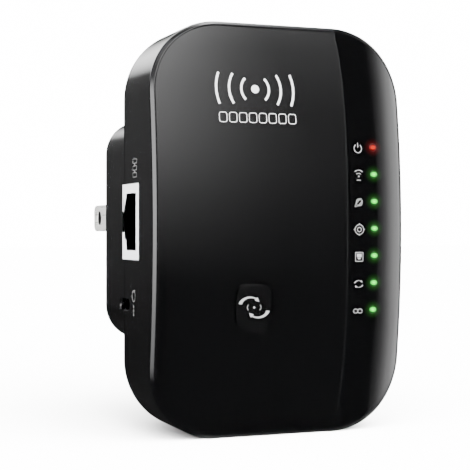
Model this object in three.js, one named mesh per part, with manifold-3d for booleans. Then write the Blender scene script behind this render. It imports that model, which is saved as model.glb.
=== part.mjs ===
// Plug-in wireless range extender, in millimetres, +Z up.
// The front faces -Y, the mains blades point +Y and the network socket opens towards -X.
// The exported origin is the midpoint between the two blades, on the flat back that meets the wall.
// The unit itself is modelled about its own centre: y = 0 is the back edge of the main body.
import * as THREE from "three";
import { mergeVertices } from "three/addons/utils/BufferGeometryUtils.js";
import Module from "manifold-3d";

const wasm = await Module();
wasm.setup();

// ---------- driving dimensions ----------
const GAP = 0.3; // clearance between pieces that touch on the real object
const BODY = { width: 59.7, height: 90, corner: 16.2, sideDepth: 21.6 };
const WALL = 1.8;
const DOME_RADIUS = 207; // the front is a shallow arc from top to bottom
const BEVEL = { width: 0.8, rise: 0.75, ridge: 0.15 };
const PLATE = 1.4; // thickness of the two front inlays
const SEAT = PLATE + GAP; // depth of the recess that they lie in
const FLOOR = 1.5; // front wall behind the inlays
const CREASE = { x: 14.8, swing: 1.15, height: 43 }; // line between the two inlays
const STRIP = { slope: 0.06, turn: 20, radius: 32 }; // the right inlay tilts, then rolls off to the side
const REAR = { flange: 0.9, plate: 1.6, lip: 3.2, lipWidth: 1.2 };
const BLOCK = { height: 50.8, corner: 7.9, depth: 15.5, wall: 1.4, back: 1.8, edge: 0.7 };
const BLADE = { width: 6.35, thick: 1.4, length: 17, spacing: 12.7, hole: 3.18, holeAt: 11.9, inner: 6.7 };
const PLUG = { x: -21.05, z: 2.8 }; // midpoint between the blades, seen in the unit's own frame
const BOARD = { front: -13.6, back: -12, width: 52.4, height: 62, corner: 6 };
const JACK = { y0: -11.7, y1: 0.95, z0: -6.6, z1: 10.1, face: -29.75, depth: 15.6, skin: 0.5 };
const PORT = { y0: -9.54, y1: -2.5, z0: -4.4, z1: 7.9, depth: 12.2 };
const BUTTON = { x: -7.1, z: -16.6, width: 7.8, height: 9.9, corner: 2.7, proud: 0.1 };
const RESET = { y: -0.85, z: -16.5, length: 8.1, height: 2.6 };
const LED = { x: 21.6, z: 0.3, pitch: 6, count: 7, radius: 0.95 };
const SCREW_POSTS = { x: 19.5, z: 36.5, radius: 3, pilot: 1.3 };
const BOARD_POSTS = { x: 20.5, z: 27.2, radius: 2.8, pilot: 1.1 };
const POWER = { y0: 11, y1: 12.2, x0: -8.5, x1: 26.5, z: 21 };

const HALF_W = BODY.width / 2;
const HALF_H = BODY.height / 2;
const FACE = -(BODY.sideDepth + BEVEL.rise); // y of the front face at mid height
const SHELL_END = -(REAR.flange + GAP); // back edge of the front shell's wall
const FAR = 60; // beyond every piece, for cutters

// ---------- the curved front ----------
const creaseAt = (z) => CREASE.x - CREASE.swing * Math.pow(z / CREASE.height, 6);

function frontY(x, z) {
  const tilt = STRIP.slope * Math.max(0, x - creaseAt(z));
  const roll = Math.max(0, x - STRIP.turn);
  return FACE + (z * z) / (2 * DOME_RADIUS) + tilt + (roll * roll) / (2 * STRIP.radius);
}

// ---------- solids ----------
function solid(geometry) {
  const bare = geometry.clone();
  for (const name of ["normal", "uv"]) bare.deleteAttribute(name);
  const merged = mergeVertices(bare, 1e-4);
  return new wasm.Manifold(
    new wasm.Mesh({
      numProp: 3,
      vertProperties: new Float32Array(merged.attributes.position.array),
      triVerts: new Uint32Array(merged.index.array),
    }),
  );
}

function indexed(positions, index) {
  const geometry = new THREE.BufferGeometry();
  geometry.setAttribute("position", new THREE.Float32BufferAttribute(positions, 3));
  geometry.setIndex(index);
  return geometry;
}

function geometryOf(made) {
  const mesh = made.getMesh();
  const geometry = indexed(Array.from(mesh.vertProperties), Array.from(mesh.triVerts));
  geometry.computeVertexNormals();
  return geometry;
}

const join = (...solids) => solids.reduce((a, b) => a.add(b));
const cut = (from, ...cutters) => cutters.reduce((a, b) => a.subtract(b), from);

function box(x0, x1, y0, y1, z0, z1) {
  const geometry = new THREE.BoxGeometry(x1 - x0, y1 - y0, z1 - z0);
  return solid(geometry.translate((x0 + x1) / 2, (y0 + y1) / 2, (z0 + z1) / 2));
}

// A cylinder along Y from y0 to y1.
function rodY(x, z, radius, y0, y1, segments = 20) {
  const geometry = new THREE.CylinderGeometry(radius, radius, y1 - y0, segments);
  return solid(geometry.translate(x, (y0 + y1) / 2, z));
}

function rodX(y, z, radius, x0, x1, segments = 20) {
  const geometry = new THREE.CylinderGeometry(radius, radius, x1 - x0, segments).rotateZ(Math.PI / 2);
  return solid(geometry.translate((x0 + x1) / 2, y, z));
}

function rodZ(x, y, radius, z0, z1, segments = 20) {
  const geometry = new THREE.CylinderGeometry(radius, radius, z1 - z0, segments).rotateX(Math.PI / 2);
  return solid(geometry.translate(x, y, (z0 + z1) / 2));
}

// A turned piece about a line along Y through (x, z). The profile holds [radius, y] pairs, axis to axis.
function turned(x, z, profile, segments = 16) {
  const points = profile.map(([radius, y]) => new THREE.Vector2(radius, y));
  return solid(new THREE.LatheGeometry(points, segments).translate(x, 0, z));
}

function roundedShape(width, height, corner, cx = 0, cy = 0) {
  const [x0, x1] = [cx - width / 2 + corner, cx + width / 2 - corner];
  const [y0, y1] = [cy - height / 2 + corner, cy + height / 2 - corner];
  const shape = new THREE.Shape();
  shape.absarc(x1, y0, corner, -Math.PI / 2, 0);
  shape.absarc(x1, y1, corner, 0, Math.PI / 2);
  shape.absarc(x0, y1, corner, Math.PI / 2, Math.PI);
  shape.absarc(x0, y0, corner, Math.PI, 1.5 * Math.PI);
  return shape;
}

function polygon(points) {
  return new THREE.Shape(points.map(([x, y]) => new THREE.Vector2(x, y)));
}

// A shape drawn in X and Z, pushed along Y.
function prismY(shape, y0, y1, curveSegments = 4) {
  const geometry = new THREE.ExtrudeGeometry(shape, { depth: y1 - y0, bevelEnabled: false, curveSegments });
  return solid(geometry.rotateX(Math.PI / 2).translate(0, y1, 0));
}

// A shape drawn in Y and Z, pushed along X.
function prismX(shape, x0, x1, curveSegments = 4) {
  const geometry = new THREE.ExtrudeGeometry(shape, { depth: x1 - x0, bevelEnabled: false, curveSegments });
  const turn = new THREE.Matrix4().makeBasis(
    new THREE.Vector3(0, 1, 0),
    new THREE.Vector3(0, 0, 1),
    new THREE.Vector3(1, 0, 0),
  );
  return solid(geometry.applyMatrix4(turn).translate(x0, 0, 0));
}

// A shape drawn in X and Y, pushed along Z.
function prismZ(shape, z0, z1, curveSegments = 4) {
  const geometry = new THREE.ExtrudeGeometry(shape, { depth: z1 - z0, bevelEnabled: false, curveSegments });
  return solid(geometry.translate(0, 0, z0));
}

// An insulated wire along a smooth curve through the points.
function wire(points, radius, steps = 22) {
  const path = new THREE.CatmullRomCurve3(points.map((p) => new THREE.Vector3(...p)));
  const section = new THREE.Shape();
  section.absarc(0, 0, radius, 0, 2 * Math.PI);
  return solid(new THREE.ExtrudeGeometry(section, { steps, extrudePath: path, curveSegments: 4 }));
}

// ---------- body outline ----------
const CORNER_STEPS = 10;
const SIDE_STEPS = 8;

// Points of the body's outline moved inwards, anticlockwise seen from the front.
function outline(inset) {
  const radius = BODY.corner - inset;
  const [cx, cz] = [HALF_W - BODY.corner, HALF_H - BODY.corner];
  const corners = [[cx, -cz, -90], [cx, cz, 0], [-cx, cz, 90], [-cx, -cz, 180]];
  const points = [];
  corners.forEach(([x, z, start], index) => {
    for (let i = 0; i <= CORNER_STEPS; i++) {
      const angle = THREE.MathUtils.degToRad(start + (90 * i) / CORNER_STEPS);
      points.push([x + radius * Math.cos(angle), z + radius * Math.sin(angle)]);
    }
    const side = index === 0 ? 1 : index === 2 ? -1 : 0; // only the upright sides need points of their own
    for (let i = 1; side !== 0 && i < SIDE_STEPS; i++) {
      points.push([side * (HALF_W - inset), side * cz * ((2 * i) / SIDE_STEPS - 1)]);
    }
  });
  return points;
}

const bodyPrism = (inset, y0, y1) => prismY(polygon(outline(inset)), y0, y1);

// A closed section carried round the outline. Each section point is [inset, y, follows the curved front].
function carriedRound(section) {
  const rings = section.map(([inset, y, curved]) =>
    outline(inset).map(([x, z]) => [x, curved ? frontY(x, z) + y : y, z]),
  );
  const count = rings[0].length;
  const index = [];
  rings.forEach((ring, k) => {
    const next = ((k + 1) % rings.length) * count;
    for (let i = 0; i < count; i++) {
      const [a, b] = [k * count + i, k * count + ((i + 1) % count)];
      const [c, d] = [next + ((i + 1) % count), next + i];
      index.push(a, b, c, a, c, d);
    }
  });
  return solid(indexed(rings.flat(2), index));
}

// Everything behind the curved front moved back by an offset.
function behindFront(offset) {
  const rows = 18;
  const across = [0, 0.27, 0.42, 0.56, 0.7, 0.85, 1]; // closer together where the strip rolls off
  const reach = 3;
  const right = HALF_W + reach;
  const front = [];
  for (let r = 0; r <= rows; r++) {
    const z = (HALF_H + reach) * ((2 * r) / rows - 1);
    const held = THREE.MathUtils.clamp(z, -HALF_H, HALF_H);
    const xs = [-right, ...across.map((t) => THREE.MathUtils.lerp(creaseAt(held), right, t))];
    front.push(xs.map((x) => [x, frontY(x, held) + offset, z]));
  }
  const columns = front[0].length;
  const last = columns - 1;
  const back = front.map((row) => row.map(([x, , z]) => [x, FAR, z]));
  const id = (layer, r, c) => (layer * (rows + 1) + r) * columns + c;
  const index = [];
  const quad = (a, b, c, d) => index.push(a, b, c, a, c, d);
  for (let r = 0; r < rows; r++) {
    for (let c = 0; c < last; c++) {
      quad(id(0, r, c), id(0, r, c + 1), id(0, r + 1, c + 1), id(0, r + 1, c));
      quad(id(1, r, c), id(1, r + 1, c), id(1, r + 1, c + 1), id(1, r, c + 1));
    }
    quad(id(0, r, 0), id(0, r + 1, 0), id(1, r + 1, 0), id(1, r, 0));
    quad(id(0, r + 1, last), id(0, r, last), id(1, r, last), id(1, r + 1, last));
  }
  for (let c = 0; c < last; c++) {
    quad(id(0, 0, c + 1), id(0, 0, c), id(1, 0, c), id(1, 0, c + 1));
    quad(id(0, rows, c), id(0, rows, c + 1), id(1, rows, c + 1), id(1, rows, c));
  }
  return solid(indexed([...front.flat(2), ...back.flat(2)], index));
}

const frontLayer = (from, to) => cut(behindFront(from), behindFront(to));

// Everything to the left of the crease, moved sideways by an offset.
function leftOfCrease(offset) {
  const rows = 18;
  const line = [];
  for (let r = 0; r <= rows; r++) {
    const z = HALF_H * ((2 * r) / rows - 1);
    line.push([creaseAt(z) + offset, z]);
  }
  return prismY(polygon([[-FAR, -HALF_H], ...line, [-FAR, HALF_H]]), -FAR, FAR);
}

// ---------- shared cutters ----------
const ledHeights = Array.from({ length: LED.count }, (_, i) => LED.z + (3 - i) * LED.pitch);
const fourCorners = (p) => [[-p.x, p.z], [p.x, p.z], [-p.x, -p.z], [p.x, -p.z]];
const boardCorners = [[-BOARD_POSTS.x, -BOARD_POSTS.z], [BOARD_POSTS.x, BOARD_POSTS.z]];

const ledHoles = (radius) => ledHeights.map((z) => rodY(LED.x, z, radius, -FAR, BOARD.front, 16));

function buttonShape(grow) {
  const { width, height, corner, x, z } = BUTTON;
  return roundedShape(width + 2 * grow, height + 2 * grow, corner + grow, x, z);
}

const buttonHole = () => prismY(buttonShape(GAP), -FAR, BOARD.front);

const jackNotch = () =>
  box(-FAR, -HALF_W + 5, JACK.y0 - GAP, JACK.y1 + GAP, JACK.z0 - GAP, JACK.z1 + GAP);

function resetSlot() {
  const shape = roundedShape(RESET.length, RESET.height, RESET.height / 2 - 0.01, RESET.y, RESET.z);
  return prismX(shape, -FAR, -HALF_W + 4);
}

// ---------- casing ----------
function frontShell() {
  const rim = carriedRound([
    [0, SHELL_END, false],
    [0, BEVEL.rise, true],
    [BEVEL.width, 0, true],
    [BEVEL.width + BEVEL.ridge, 0, true],
    [BEVEL.width + BEVEL.ridge, SEAT + 0.05, true],
    [WALL, SEAT + 0.05, true],
    [WALL, SHELL_END, false],
  ]);
  const floor = frontLayer(SEAT, SEAT + FLOOR).intersect(bodyPrism(WALL - 0.4, -FAR, FAR));
  const postFoot = (x, z) => frontY(x, z) + SEAT + FLOOR / 2;
  const posts = fourCorners(SCREW_POSTS).map(([x, z]) =>
    rodY(x, z, SCREW_POSTS.radius, postFoot(x, z), -REAR.lip - GAP),
  );
  const boardPosts = boardCorners.map(([x, z]) =>
    rodY(x, z, BOARD_POSTS.radius, postFoot(x, z), BOARD.front - GAP),
  );
  const pilots = fourCorners(SCREW_POSTS).map(([x, z]) => rodY(x, z, SCREW_POSTS.pilot, -13.5, FAR, 12));
  const boardPilots = boardCorners.map(([x, z]) => rodY(x, z, BOARD_POSTS.pilot, -17, FAR, 12));
  return cut(
    join(rim, floor, ...posts, ...boardPosts),
    ...pilots,
    ...boardPilots,
    ...ledHoles(LED.radius + 2 * GAP),
    buttonHole(),
    jackNotch(),
    resetSlot(),
  );
}

const inlayInset = BEVEL.width + BEVEL.ridge + GAP;

const inlay = () => frontLayer(0, PLATE).intersect(bodyPrism(inlayInset, -FAR, FAR));

const facePlate = () => cut(inlay().intersect(leftOfCrease(-GAP / 2)), buttonHole());

const indicatorWindow = () => cut(inlay(), leftOfCrease(GAP / 2), ...ledHoles(LED.radius + GAP));

// The raised block at the back, from y0 to y1, moved inwards by an inset.
function blockPrism(inset, y0, y1) {
  return prismY(
    roundedShape(BODY.width - 2 * inset, BLOCK.height - 2 * inset, BLOCK.corner - inset),
    y0,
    y1,
    5,
  );
}

function ventSlots() {
  const slots = [];
  for (let i = -4; i <= 4; i++) {
    for (const side of [-1, 1]) {
      slots.push(box(i * 3 - 0.7, i * 3 + 0.7, -REAR.lip, 1, side * 35 - 3, side * 35 + 3));
    }
  }
  return slots;
}

function rearHousing() {
  const flange = bodyPrism(0, -REAR.flange, 0);
  const plate = bodyPrism(WALL + GAP, -REAR.plate, 0);
  const lip = cut(
    bodyPrism(WALL + GAP, -REAR.lip, -REAR.flange / 2),
    bodyPrism(WALL + GAP + REAR.lipWidth, -FAR, FAR),
  );
  const block = join(
    blockPrism(0, -REAR.flange / 2, BLOCK.depth - BLOCK.edge),
    blockPrism(BLOCK.edge * 0.3, 0, BLOCK.depth - BLOCK.edge * 0.3),
    blockPrism(BLOCK.edge, 0, BLOCK.depth),
  );
  const cavity = blockPrism(BLOCK.wall, 0, BLOCK.depth - BLOCK.back);
  const throat = blockPrism(WALL + GAP + REAR.lipWidth, -FAR, 1);
  const bosses = fourCorners(SCREW_POSTS).map(([x, z]) =>
    rodY(x, z, SCREW_POSTS.radius + 0.4, -REAR.lip + 0.1, -REAR.flange / 2),
  );
  const screwHoles = fourCorners(SCREW_POSTS).flatMap(([x, z]) => [
    rodY(x, z, 1.35, -FAR, FAR, 16),
    rodY(x, z, 2.4, -1.5, FAR, 20),
  ]);
  const bladeSlots = [-1, 1].map((side) => {
    const x = PLUG.x + (side * BLADE.spacing) / 2;
    const [w, t] = [BLADE.width / 2 + GAP / 2, BLADE.thick / 2 + GAP / 2];
    return box(x - t, x + t, 0, FAR, PLUG.z - w, PLUG.z + w);
  });
  return cut(
    join(flange, plate, lip, block, ...bosses),
    cavity,
    throat,
    ...screwHoles,
    ...bladeSlots,
    ...ventSlots(),
    jackNotch(),
    resetSlot(),
  );
}

// ---------- mains plug ----------
function blade(x) {
  const tip = BLOCK.depth + BLADE.length;
  const root = BLOCK.depth - BLADE.inner;
  const half = BLADE.width / 2;
  const nose = 1.6;
  const side = polygon([
    [root, PLUG.z - half],
    [tip - nose, PLUG.z - half],
    [tip - 0.4, PLUG.z - half + 1.2],
    [tip, PLUG.z - half + 2.1],
    [tip, PLUG.z + half - 2.1],
    [tip - 0.4, PLUG.z + half - 1.2],
    [tip - nose, PLUG.z + half],
    [root, PLUG.z + half],
  ]);
  const hole = rodX(BLOCK.depth + BLADE.holeAt, PLUG.z, BLADE.hole / 2, x - FAR, x + FAR, 24);
  return cut(prismX(side, x - BLADE.thick / 2, x + BLADE.thick / 2), hole);
}

// An insulating clamp that holds both blades against the inside of the back wall.
function bladeRetainer() {
  const [y0, y1] = [10.2, BLOCK.depth - BLOCK.back - GAP];
  const body = box(-26.4, PLUG.x + 9.5, y0, y1, PLUG.z - 5.5, PLUG.z + 5.5);
  const left = PLUG.x - BLADE.spacing / 2 - BLADE.thick / 2;
  const ear = box(left - 0.1, -26.1, y0, y1, PLUG.z - 5.5, PLUG.z + 5.5);
  const slots = [-1, 1].map((side) => {
    const x = PLUG.x + (side * BLADE.spacing) / 2;
    const [w, t] = [BLADE.width / 2 + GAP / 2, BLADE.thick / 2 + GAP / 2];
    return box(x - t, x + t, -FAR, FAR, PLUG.z - w, PLUG.z + w);
  });
  return cut(join(body, ear), ...slots);
}

// ---------- fasteners ----------
// A pan-head screw driven towards -Y, with its head's top at y.
function screw(x, z, y, headRadius, shankRadius, length) {
  const body = turned(x, z, [
    [0, y - 1.1 - length],
    [shankRadius * 0.5, y - 1.1 - length],
    [shankRadius, y - 1.1 - length + 1],
    [shankRadius, y - 1.1],
    [headRadius, y - 1.1],
    [headRadius, y - 0.4],
    [headRadius * 0.7, y],
    [0, y],
  ]);
  const [arm, half] = [headRadius * 0.55, 0.25];
  return cut(
    body,
    box(x - arm, x + arm, y - 0.6, y + 1, z - half, z + half),
    box(x - half, x + half, y - 0.6, y + 1, z - arm, z + arm),
  );
}

// ---------- main board ----------
function mainBoard() {
  const holes = boardCorners.map(([x, z]) => rodY(x, z, 1.3, -FAR, FAR, 16));
  const outlineShape = roundedShape(BOARD.width, BOARD.height, BOARD.corner);
  return cut(prismY(outlineShape, BOARD.front, BOARD.back), ...holes);
}

const SWITCH_FRONT = -15.6;

function pairingSwitchBody() {
  const body = box(BUTTON.x - 3, BUTTON.x + 3, SWITCH_FRONT, BOARD.front - 0.1, BUTTON.z - 3, BUTTON.z + 3);
  return cut(body, rodY(BUTTON.x, BUTTON.z, 1.7 + GAP, -FAR, -14.2));
}

const pairingSwitchPlunger = () => rodY(BUTTON.x, BUTTON.z, 1.7, -16.4, -14.6);

function pairingButton() {
  const stemEnd = -16.7;
  const cap = prismY(buttonShape(0), -FAR, -17.4).intersect(behindFront(-BUTTON.proud));
  const collar = prismY(buttonShape(1), -17.6, -16.9);
  return join(cap, collar, rodY(BUTTON.x, BUTTON.z, 1.2, -17.2, stemEnd, 16));
}

const RESET_PLUNGER = { y: -3, tip: -27.7, root: -25.5, radius: 1.1 };

function resetSwitchBody() {
  const body = box(-26.1, -22.1, BOARD.back + 0.1, -1, RESET.z - 3, RESET.z + 3);
  return cut(body, rodX(RESET_PLUNGER.y, RESET.z, RESET_PLUNGER.radius + GAP, -FAR, -25));
}

const resetPlunger = () =>
  rodX(RESET_PLUNGER.y, RESET.z, RESET_PLUNGER.radius, RESET_PLUNGER.tip, RESET_PLUNGER.root);

const statusLed = (z) => box(LED.x - 1, LED.x + 1, -14.6, BOARD.front - 0.1, z - 0.7, z + 0.7);

function lightPipe(z) {
  const tip = frontY(LED.x, z) + 0.05;
  return turned(LED.x, z, [
    [0, tip],
    [LED.radius, tip],
    [LED.radius, -15.6],
    [1.6, -15.6],
    [1.6, -14.9],
    [0, -14.9],
  ], 14);
}

function lightPipeHolder() {
  const bar = prismY(roundedShape(5, 42, 1.5, LED.x, LED.z), -FAR, -15.9);
  return cut(bar.intersect(behindFront(SEAT + FLOOR + GAP)), ...ledHoles(LED.radius + GAP));
}

// A flat package on the back of the board.
function chip(x, z, width, height, thick) {
  const foot = BOARD.back + 0.1;
  return box(x - width / 2, x + width / 2, foot, foot + thick, z - height / 2, z + height / 2);
}

// A stamped inverted-F antenna standing on the board, with its bar pointing along X.
function antenna(side) {
  const foot = BOARD.back + 0.1;
  const shape = polygon(
    [[2, foot], [3.4, foot], [3.4, foot + 3.8], [6.6, foot + 3.8], [6.6, foot], [8, foot], [8, foot + 3.8],
     [23, foot + 3.8], [23, foot + 5.2], [2, foot + 5.2]].map(([x, y]) => [side * x, y]),
  );
  return prismZ(shape, 28.6, 29.1);
}

// ---------- network jack ----------
// The socket's mouth with its two steps for the plug's latch, drawn in Y and Z.
function portShape(latchEnd) {
  const middle = (PORT.z0 + PORT.z1) / 2;
  return polygon([
    [PORT.y0, PORT.z0], [PORT.y1, PORT.z0], [PORT.y1, middle - 3.7], [PORT.y1 + 1.45, middle - 3.7],
    [PORT.y1 + 1.45, middle - 2.3], [latchEnd, middle - 2.3], [latchEnd, middle + 2.3],
    [PORT.y1 + 1.45, middle + 2.3], [PORT.y1 + 1.45, middle + 3.7], [PORT.y1, middle + 3.7],
    [PORT.y1, PORT.z1], [PORT.y0, PORT.z1],
  ]);
}

function jackShield() {
  const { y0, y1, z0, z1, face, depth, skin } = JACK;
  const shell = cut(
    box(face, face + depth, y0, y1, z0, z1),
    box(face + skin, FAR, y0 + skin, y1 - skin, z0 + skin, z1 - skin),
  );
  return cut(shell, prismX(portShape(FAR / 2), -FAR, face + skin + 2));
}

function jackHousing() {
  const { y0, y1, z0, z1, face, depth, skin } = JACK;
  const gap = skin + GAP;
  const body = box(face + gap, face + depth, y0 + gap, y1 - gap, z0 + gap, z1 - gap);
  return cut(body, prismX(portShape(y1 - gap - 0.6), -FAR, face + PORT.depth));
}

// One sprung contact, rising towards the plug as it runs into the socket.
function jackContact(index) {
  const z = (PORT.z0 + PORT.z1) / 2 + (index - 3.5) * 1.02;
  const shape = polygon([
    [-27, -9.2], [-21, -9.2], [-20.2, -7.9], [-20.6, -7.7], [-21.6, -8.85], [-27, -8.85],
  ]);
  return prismZ(shape, z - 0.22, z + 0.22);
}

// ---------- power supply ----------
const powerBoard = () => box(POWER.x0, POWER.x1, POWER.y0, POWER.y1, -POWER.z, POWER.z);

const TRANSFORMER = { x: 8.5, y: 5.1, z: 7 };

// Two E halves closed on each other, seen along Y.
function transformerCore() {
  const { x, y, z } = TRANSFORMER;
  const windows = [-3.5, 3.5].map((dx) => box(x + dx - 1.5, x + dx + 1.5, -FAR, FAR, z - 4.5, z + 4.5));
  return cut(box(x - 7, x + 7, y - 3, y + 3, z - 6.5, z + 6.5), ...windows);
}

function transformerWinding() {
  const { x, y, z } = TRANSFORMER;
  const coil = prismZ(roundedShape(9.4, 11.2, 1.5, x, y), z - 4.2, z + 4.2);
  return cut(coil, box(x - 2.3, x + 2.3, y - 3.3, y + 3.3, -FAR, FAR));
}

const inputCapacitor = (z0) => rodZ(21.8, 6.5, 4, z0, z0 + 12, 24);

const outputCapacitor = () => rodY(-3.8, -16, 3.2, 1.7, POWER.y0 - 0.2, 24);

const bridgeRectifier = () => box(-6.4, -0.4, 8, POWER.y0 - 0.2, 13, 18);

const fusibleResistor = () => rodX(9.2, -14, 1.6, 4, 12, 16);

// ---------- assembly ----------
function finish(color, roughness, metalness = 0) {
  return new THREE.MeshStandardMaterial({ color, roughness, metalness });
}

const FINISH = {
  gloss: finish(0x0b0b0d, 0.08),
  casing: finish(0x26262a, 0.35),
  smoked: finish(0x050506, 0.05),
  blade: finish(0xc9c9c6, 0.3, 1),
  insulator: finish(0x1d1d1f, 0.6),
  steel: finish(0x9a9a9c, 0.35, 1),
  board: finish(0x0f4a2a, 0.5),
  jack: finish(0xe8e8ea, 0.25, 1),
  gold: finish(0xd9a441, 0.25, 1),
  redPipe: finish(0xff3020, 0.3),
  greenPipe: finish(0x58ff58, 0.3),
  led: finish(0xe8e4d0, 0.4),
  chip: finish(0x141416, 0.5),
  copper: finish(0xb56a34, 0.35, 1),
  ferrite: finish(0x3a3a3c, 0.7),
  tape: finish(0xd8b93a, 0.5),
  can: finish(0x1c2a5a, 0.4),
  redWire: finish(0xa01818, 0.5),
  blackWire: finish(0x101010, 0.5),
  blueWire: finish(0x1a3a8a, 0.5),
};

const unit = new THREE.Group();
unit.position.set(-PLUG.x, -BLOCK.depth, -PLUG.z);

function add(name, made, material) {
  const mesh = new THREE.Mesh(geometryOf(made), material);
  mesh.name = name;
  unit.add(mesh);
}

add("front_shell", frontShell(), FINISH.casing);
add("face_plate", facePlate(), FINISH.gloss);
add("indicator_window", indicatorWindow(), FINISH.smoked);
add("rear_housing", rearHousing(), FINISH.casing);
add("pairing_button", pairingButton(), FINISH.gloss);
add("pairing_switch_body", pairingSwitchBody(), FINISH.chip);
add("pairing_switch_plunger", pairingSwitchPlunger(), FINISH.insulator);
add("reset_switch_body", resetSwitchBody(), FINISH.chip);
add("reset_plunger", resetPlunger(), FINISH.insulator);

add("line_blade", blade(PLUG.x - BLADE.spacing / 2), FINISH.blade);
add("neutral_blade", blade(PLUG.x + BLADE.spacing / 2), FINISH.blade);
add("blade_retainer", bladeRetainer(), FINISH.insulator);

fourCorners(SCREW_POSTS).forEach(([x, z], i) => {
  add(`housing_screw_${i + 1}`, screw(x, z, -0.25, 2.05, 1, 8), FINISH.steel);
});
boardCorners.forEach(([x, z], i) => {
  add(`board_screw_${i + 1}`, screw(x, z, BOARD.back + 0.1 + 1.1, 2, 0.8, 4.5), FINISH.steel);
});

add("main_board", mainBoard(), FINISH.board);
add("radio_chip", chip(3, 10, 9, 9, 0.9), FINISH.chip);
add("flash_chip", chip(13.5, 4, 5.2, 6, 1.8), FINISH.chip);
add("network_transformer", chip(-7, 1.7, 7.2, 12.7, 4.6), FINISH.chip);
add("antenna_left", antenna(-1), FINISH.steel);
add("antenna_right", antenna(1), FINISH.steel);

ledHeights.forEach((z, i) => {
  add(`status_led_${i + 1}`, statusLed(z), FINISH.led);
  add(`light_pipe_${i + 1}`, lightPipe(z), i === 0 ? FINISH.redPipe : FINISH.greenPipe);
});
add("light_pipe_holder", lightPipeHolder(), FINISH.insulator);

add("jack_shield", jackShield(), FINISH.jack);
add("jack_housing", jackHousing(), FINISH.insulator);
for (let i = 0; i < 8; i++) add(`jack_contact_${i + 1}`, jackContact(i), FINISH.gold);

add("power_board", powerBoard(), FINISH.board);
add("transformer_core", transformerCore(), FINISH.ferrite);
add("transformer_winding", transformerWinding(), FINISH.tape);
add("input_capacitor_1", inputCapacitor(-20.5), FINISH.can);
add("input_capacitor_2", inputCapacitor(-7.5), FINISH.can);
add("output_capacitor", outputCapacitor(), FINISH.can);
add("bridge_rectifier", bridgeRectifier(), FINISH.chip);
add("fusible_resistor", fusibleResistor(), FINISH.copper);

const LEAD = 0.8; // radius over the insulation
const bladeEnd = BLOCK.depth - BLADE.inner - GAP;
const boardFace = POWER.y0 - 0.2;
const lineX = PLUG.x - BLADE.spacing / 2 + 0.3;
const neutralX = PLUG.x + BLADE.spacing / 2;
const lineRoute = [
  [lineX, bladeEnd, 2.8], [lineX, 7, 2.9], [-25.2, 5, 6], [-21, 4.6, 13],
  [-12, 5.5, 19.4], [-6, 8.4, 19.6], [-6, boardFace, 19.6],
];
const neutralRoute = [
  [neutralX, bladeEnd, 2.8], [neutralX, 7, 2.7], [-12.6, 5, -4],
  [-7.8, 6.5, -8.5], [-6, 8.6, -8.8], [-6, boardFace, -8.8],
];
const dcRoute = [
  [4, boardFace, -19], [4, 7, -19.6], [3, 1, -20.5],
  [1, -6, -20.5], [0, -10, -18.8], [0, BOARD.back + 0.2, -18.8],
];
add("line_lead", wire(lineRoute, LEAD), FINISH.blackWire);
add("neutral_lead", wire(neutralRoute, LEAD), FINISH.blueWire);
add("dc_lead", wire(dcRoute, LEAD), FINISH.redWire);

const root = new THREE.Group();
root.name = "wireless_range_extender";
root.add(unit);

export default root;
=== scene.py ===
"""Looks for a plug-in wireless range extender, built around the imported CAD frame.

Shapes are drawn in millimetres about the unit's own centre, where y = 0 is the back edge of the
main body, and `place` moves them into the frame in metres.
"""
import math

import bmesh
import bpy
import numpy as np
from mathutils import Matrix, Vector


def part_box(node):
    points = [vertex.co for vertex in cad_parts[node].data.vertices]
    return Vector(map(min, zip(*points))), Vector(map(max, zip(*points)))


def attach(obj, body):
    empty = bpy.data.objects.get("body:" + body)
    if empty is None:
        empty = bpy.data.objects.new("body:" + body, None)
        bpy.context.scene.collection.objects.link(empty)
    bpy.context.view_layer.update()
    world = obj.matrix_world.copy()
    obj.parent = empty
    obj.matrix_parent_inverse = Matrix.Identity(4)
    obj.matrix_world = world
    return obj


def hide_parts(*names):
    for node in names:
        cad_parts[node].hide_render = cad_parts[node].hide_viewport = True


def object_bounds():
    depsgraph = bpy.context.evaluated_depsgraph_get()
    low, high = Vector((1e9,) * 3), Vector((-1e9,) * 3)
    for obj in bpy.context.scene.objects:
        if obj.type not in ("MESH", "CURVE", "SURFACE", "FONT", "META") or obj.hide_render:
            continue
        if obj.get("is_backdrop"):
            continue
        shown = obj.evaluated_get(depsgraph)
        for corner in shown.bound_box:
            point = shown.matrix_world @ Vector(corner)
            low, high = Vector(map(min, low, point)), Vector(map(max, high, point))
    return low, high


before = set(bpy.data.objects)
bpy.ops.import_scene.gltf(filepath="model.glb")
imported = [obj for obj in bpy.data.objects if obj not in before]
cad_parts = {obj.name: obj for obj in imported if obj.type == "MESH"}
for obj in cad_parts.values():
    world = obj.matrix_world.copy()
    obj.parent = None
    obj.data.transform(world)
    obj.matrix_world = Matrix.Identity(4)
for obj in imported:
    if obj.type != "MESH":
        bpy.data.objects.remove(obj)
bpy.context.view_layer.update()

# ---------- sizes, in millimetres ----------
MM = 0.001
BLOCK_DEPTH = 15.5
LOW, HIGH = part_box("front_shell")
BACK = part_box("rear_housing")[1].y
ORIGIN = Vector(((LOW.x + HIGH.x) / 2, BACK - BLOCK_DEPTH * MM, (LOW.z + HIGH.z) / 2))


def span(node):
    """A CAD node's lowest and highest corners in the unit's millimetres."""
    return tuple((corner - ORIGIN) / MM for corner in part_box(node))


def middle(node):
    """X and Z of the middle of a CAD node, in the unit's millimetres."""
    low, high = span(node)
    return (low.x + high.x) / 2, (low.z + high.z) / 2


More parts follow.
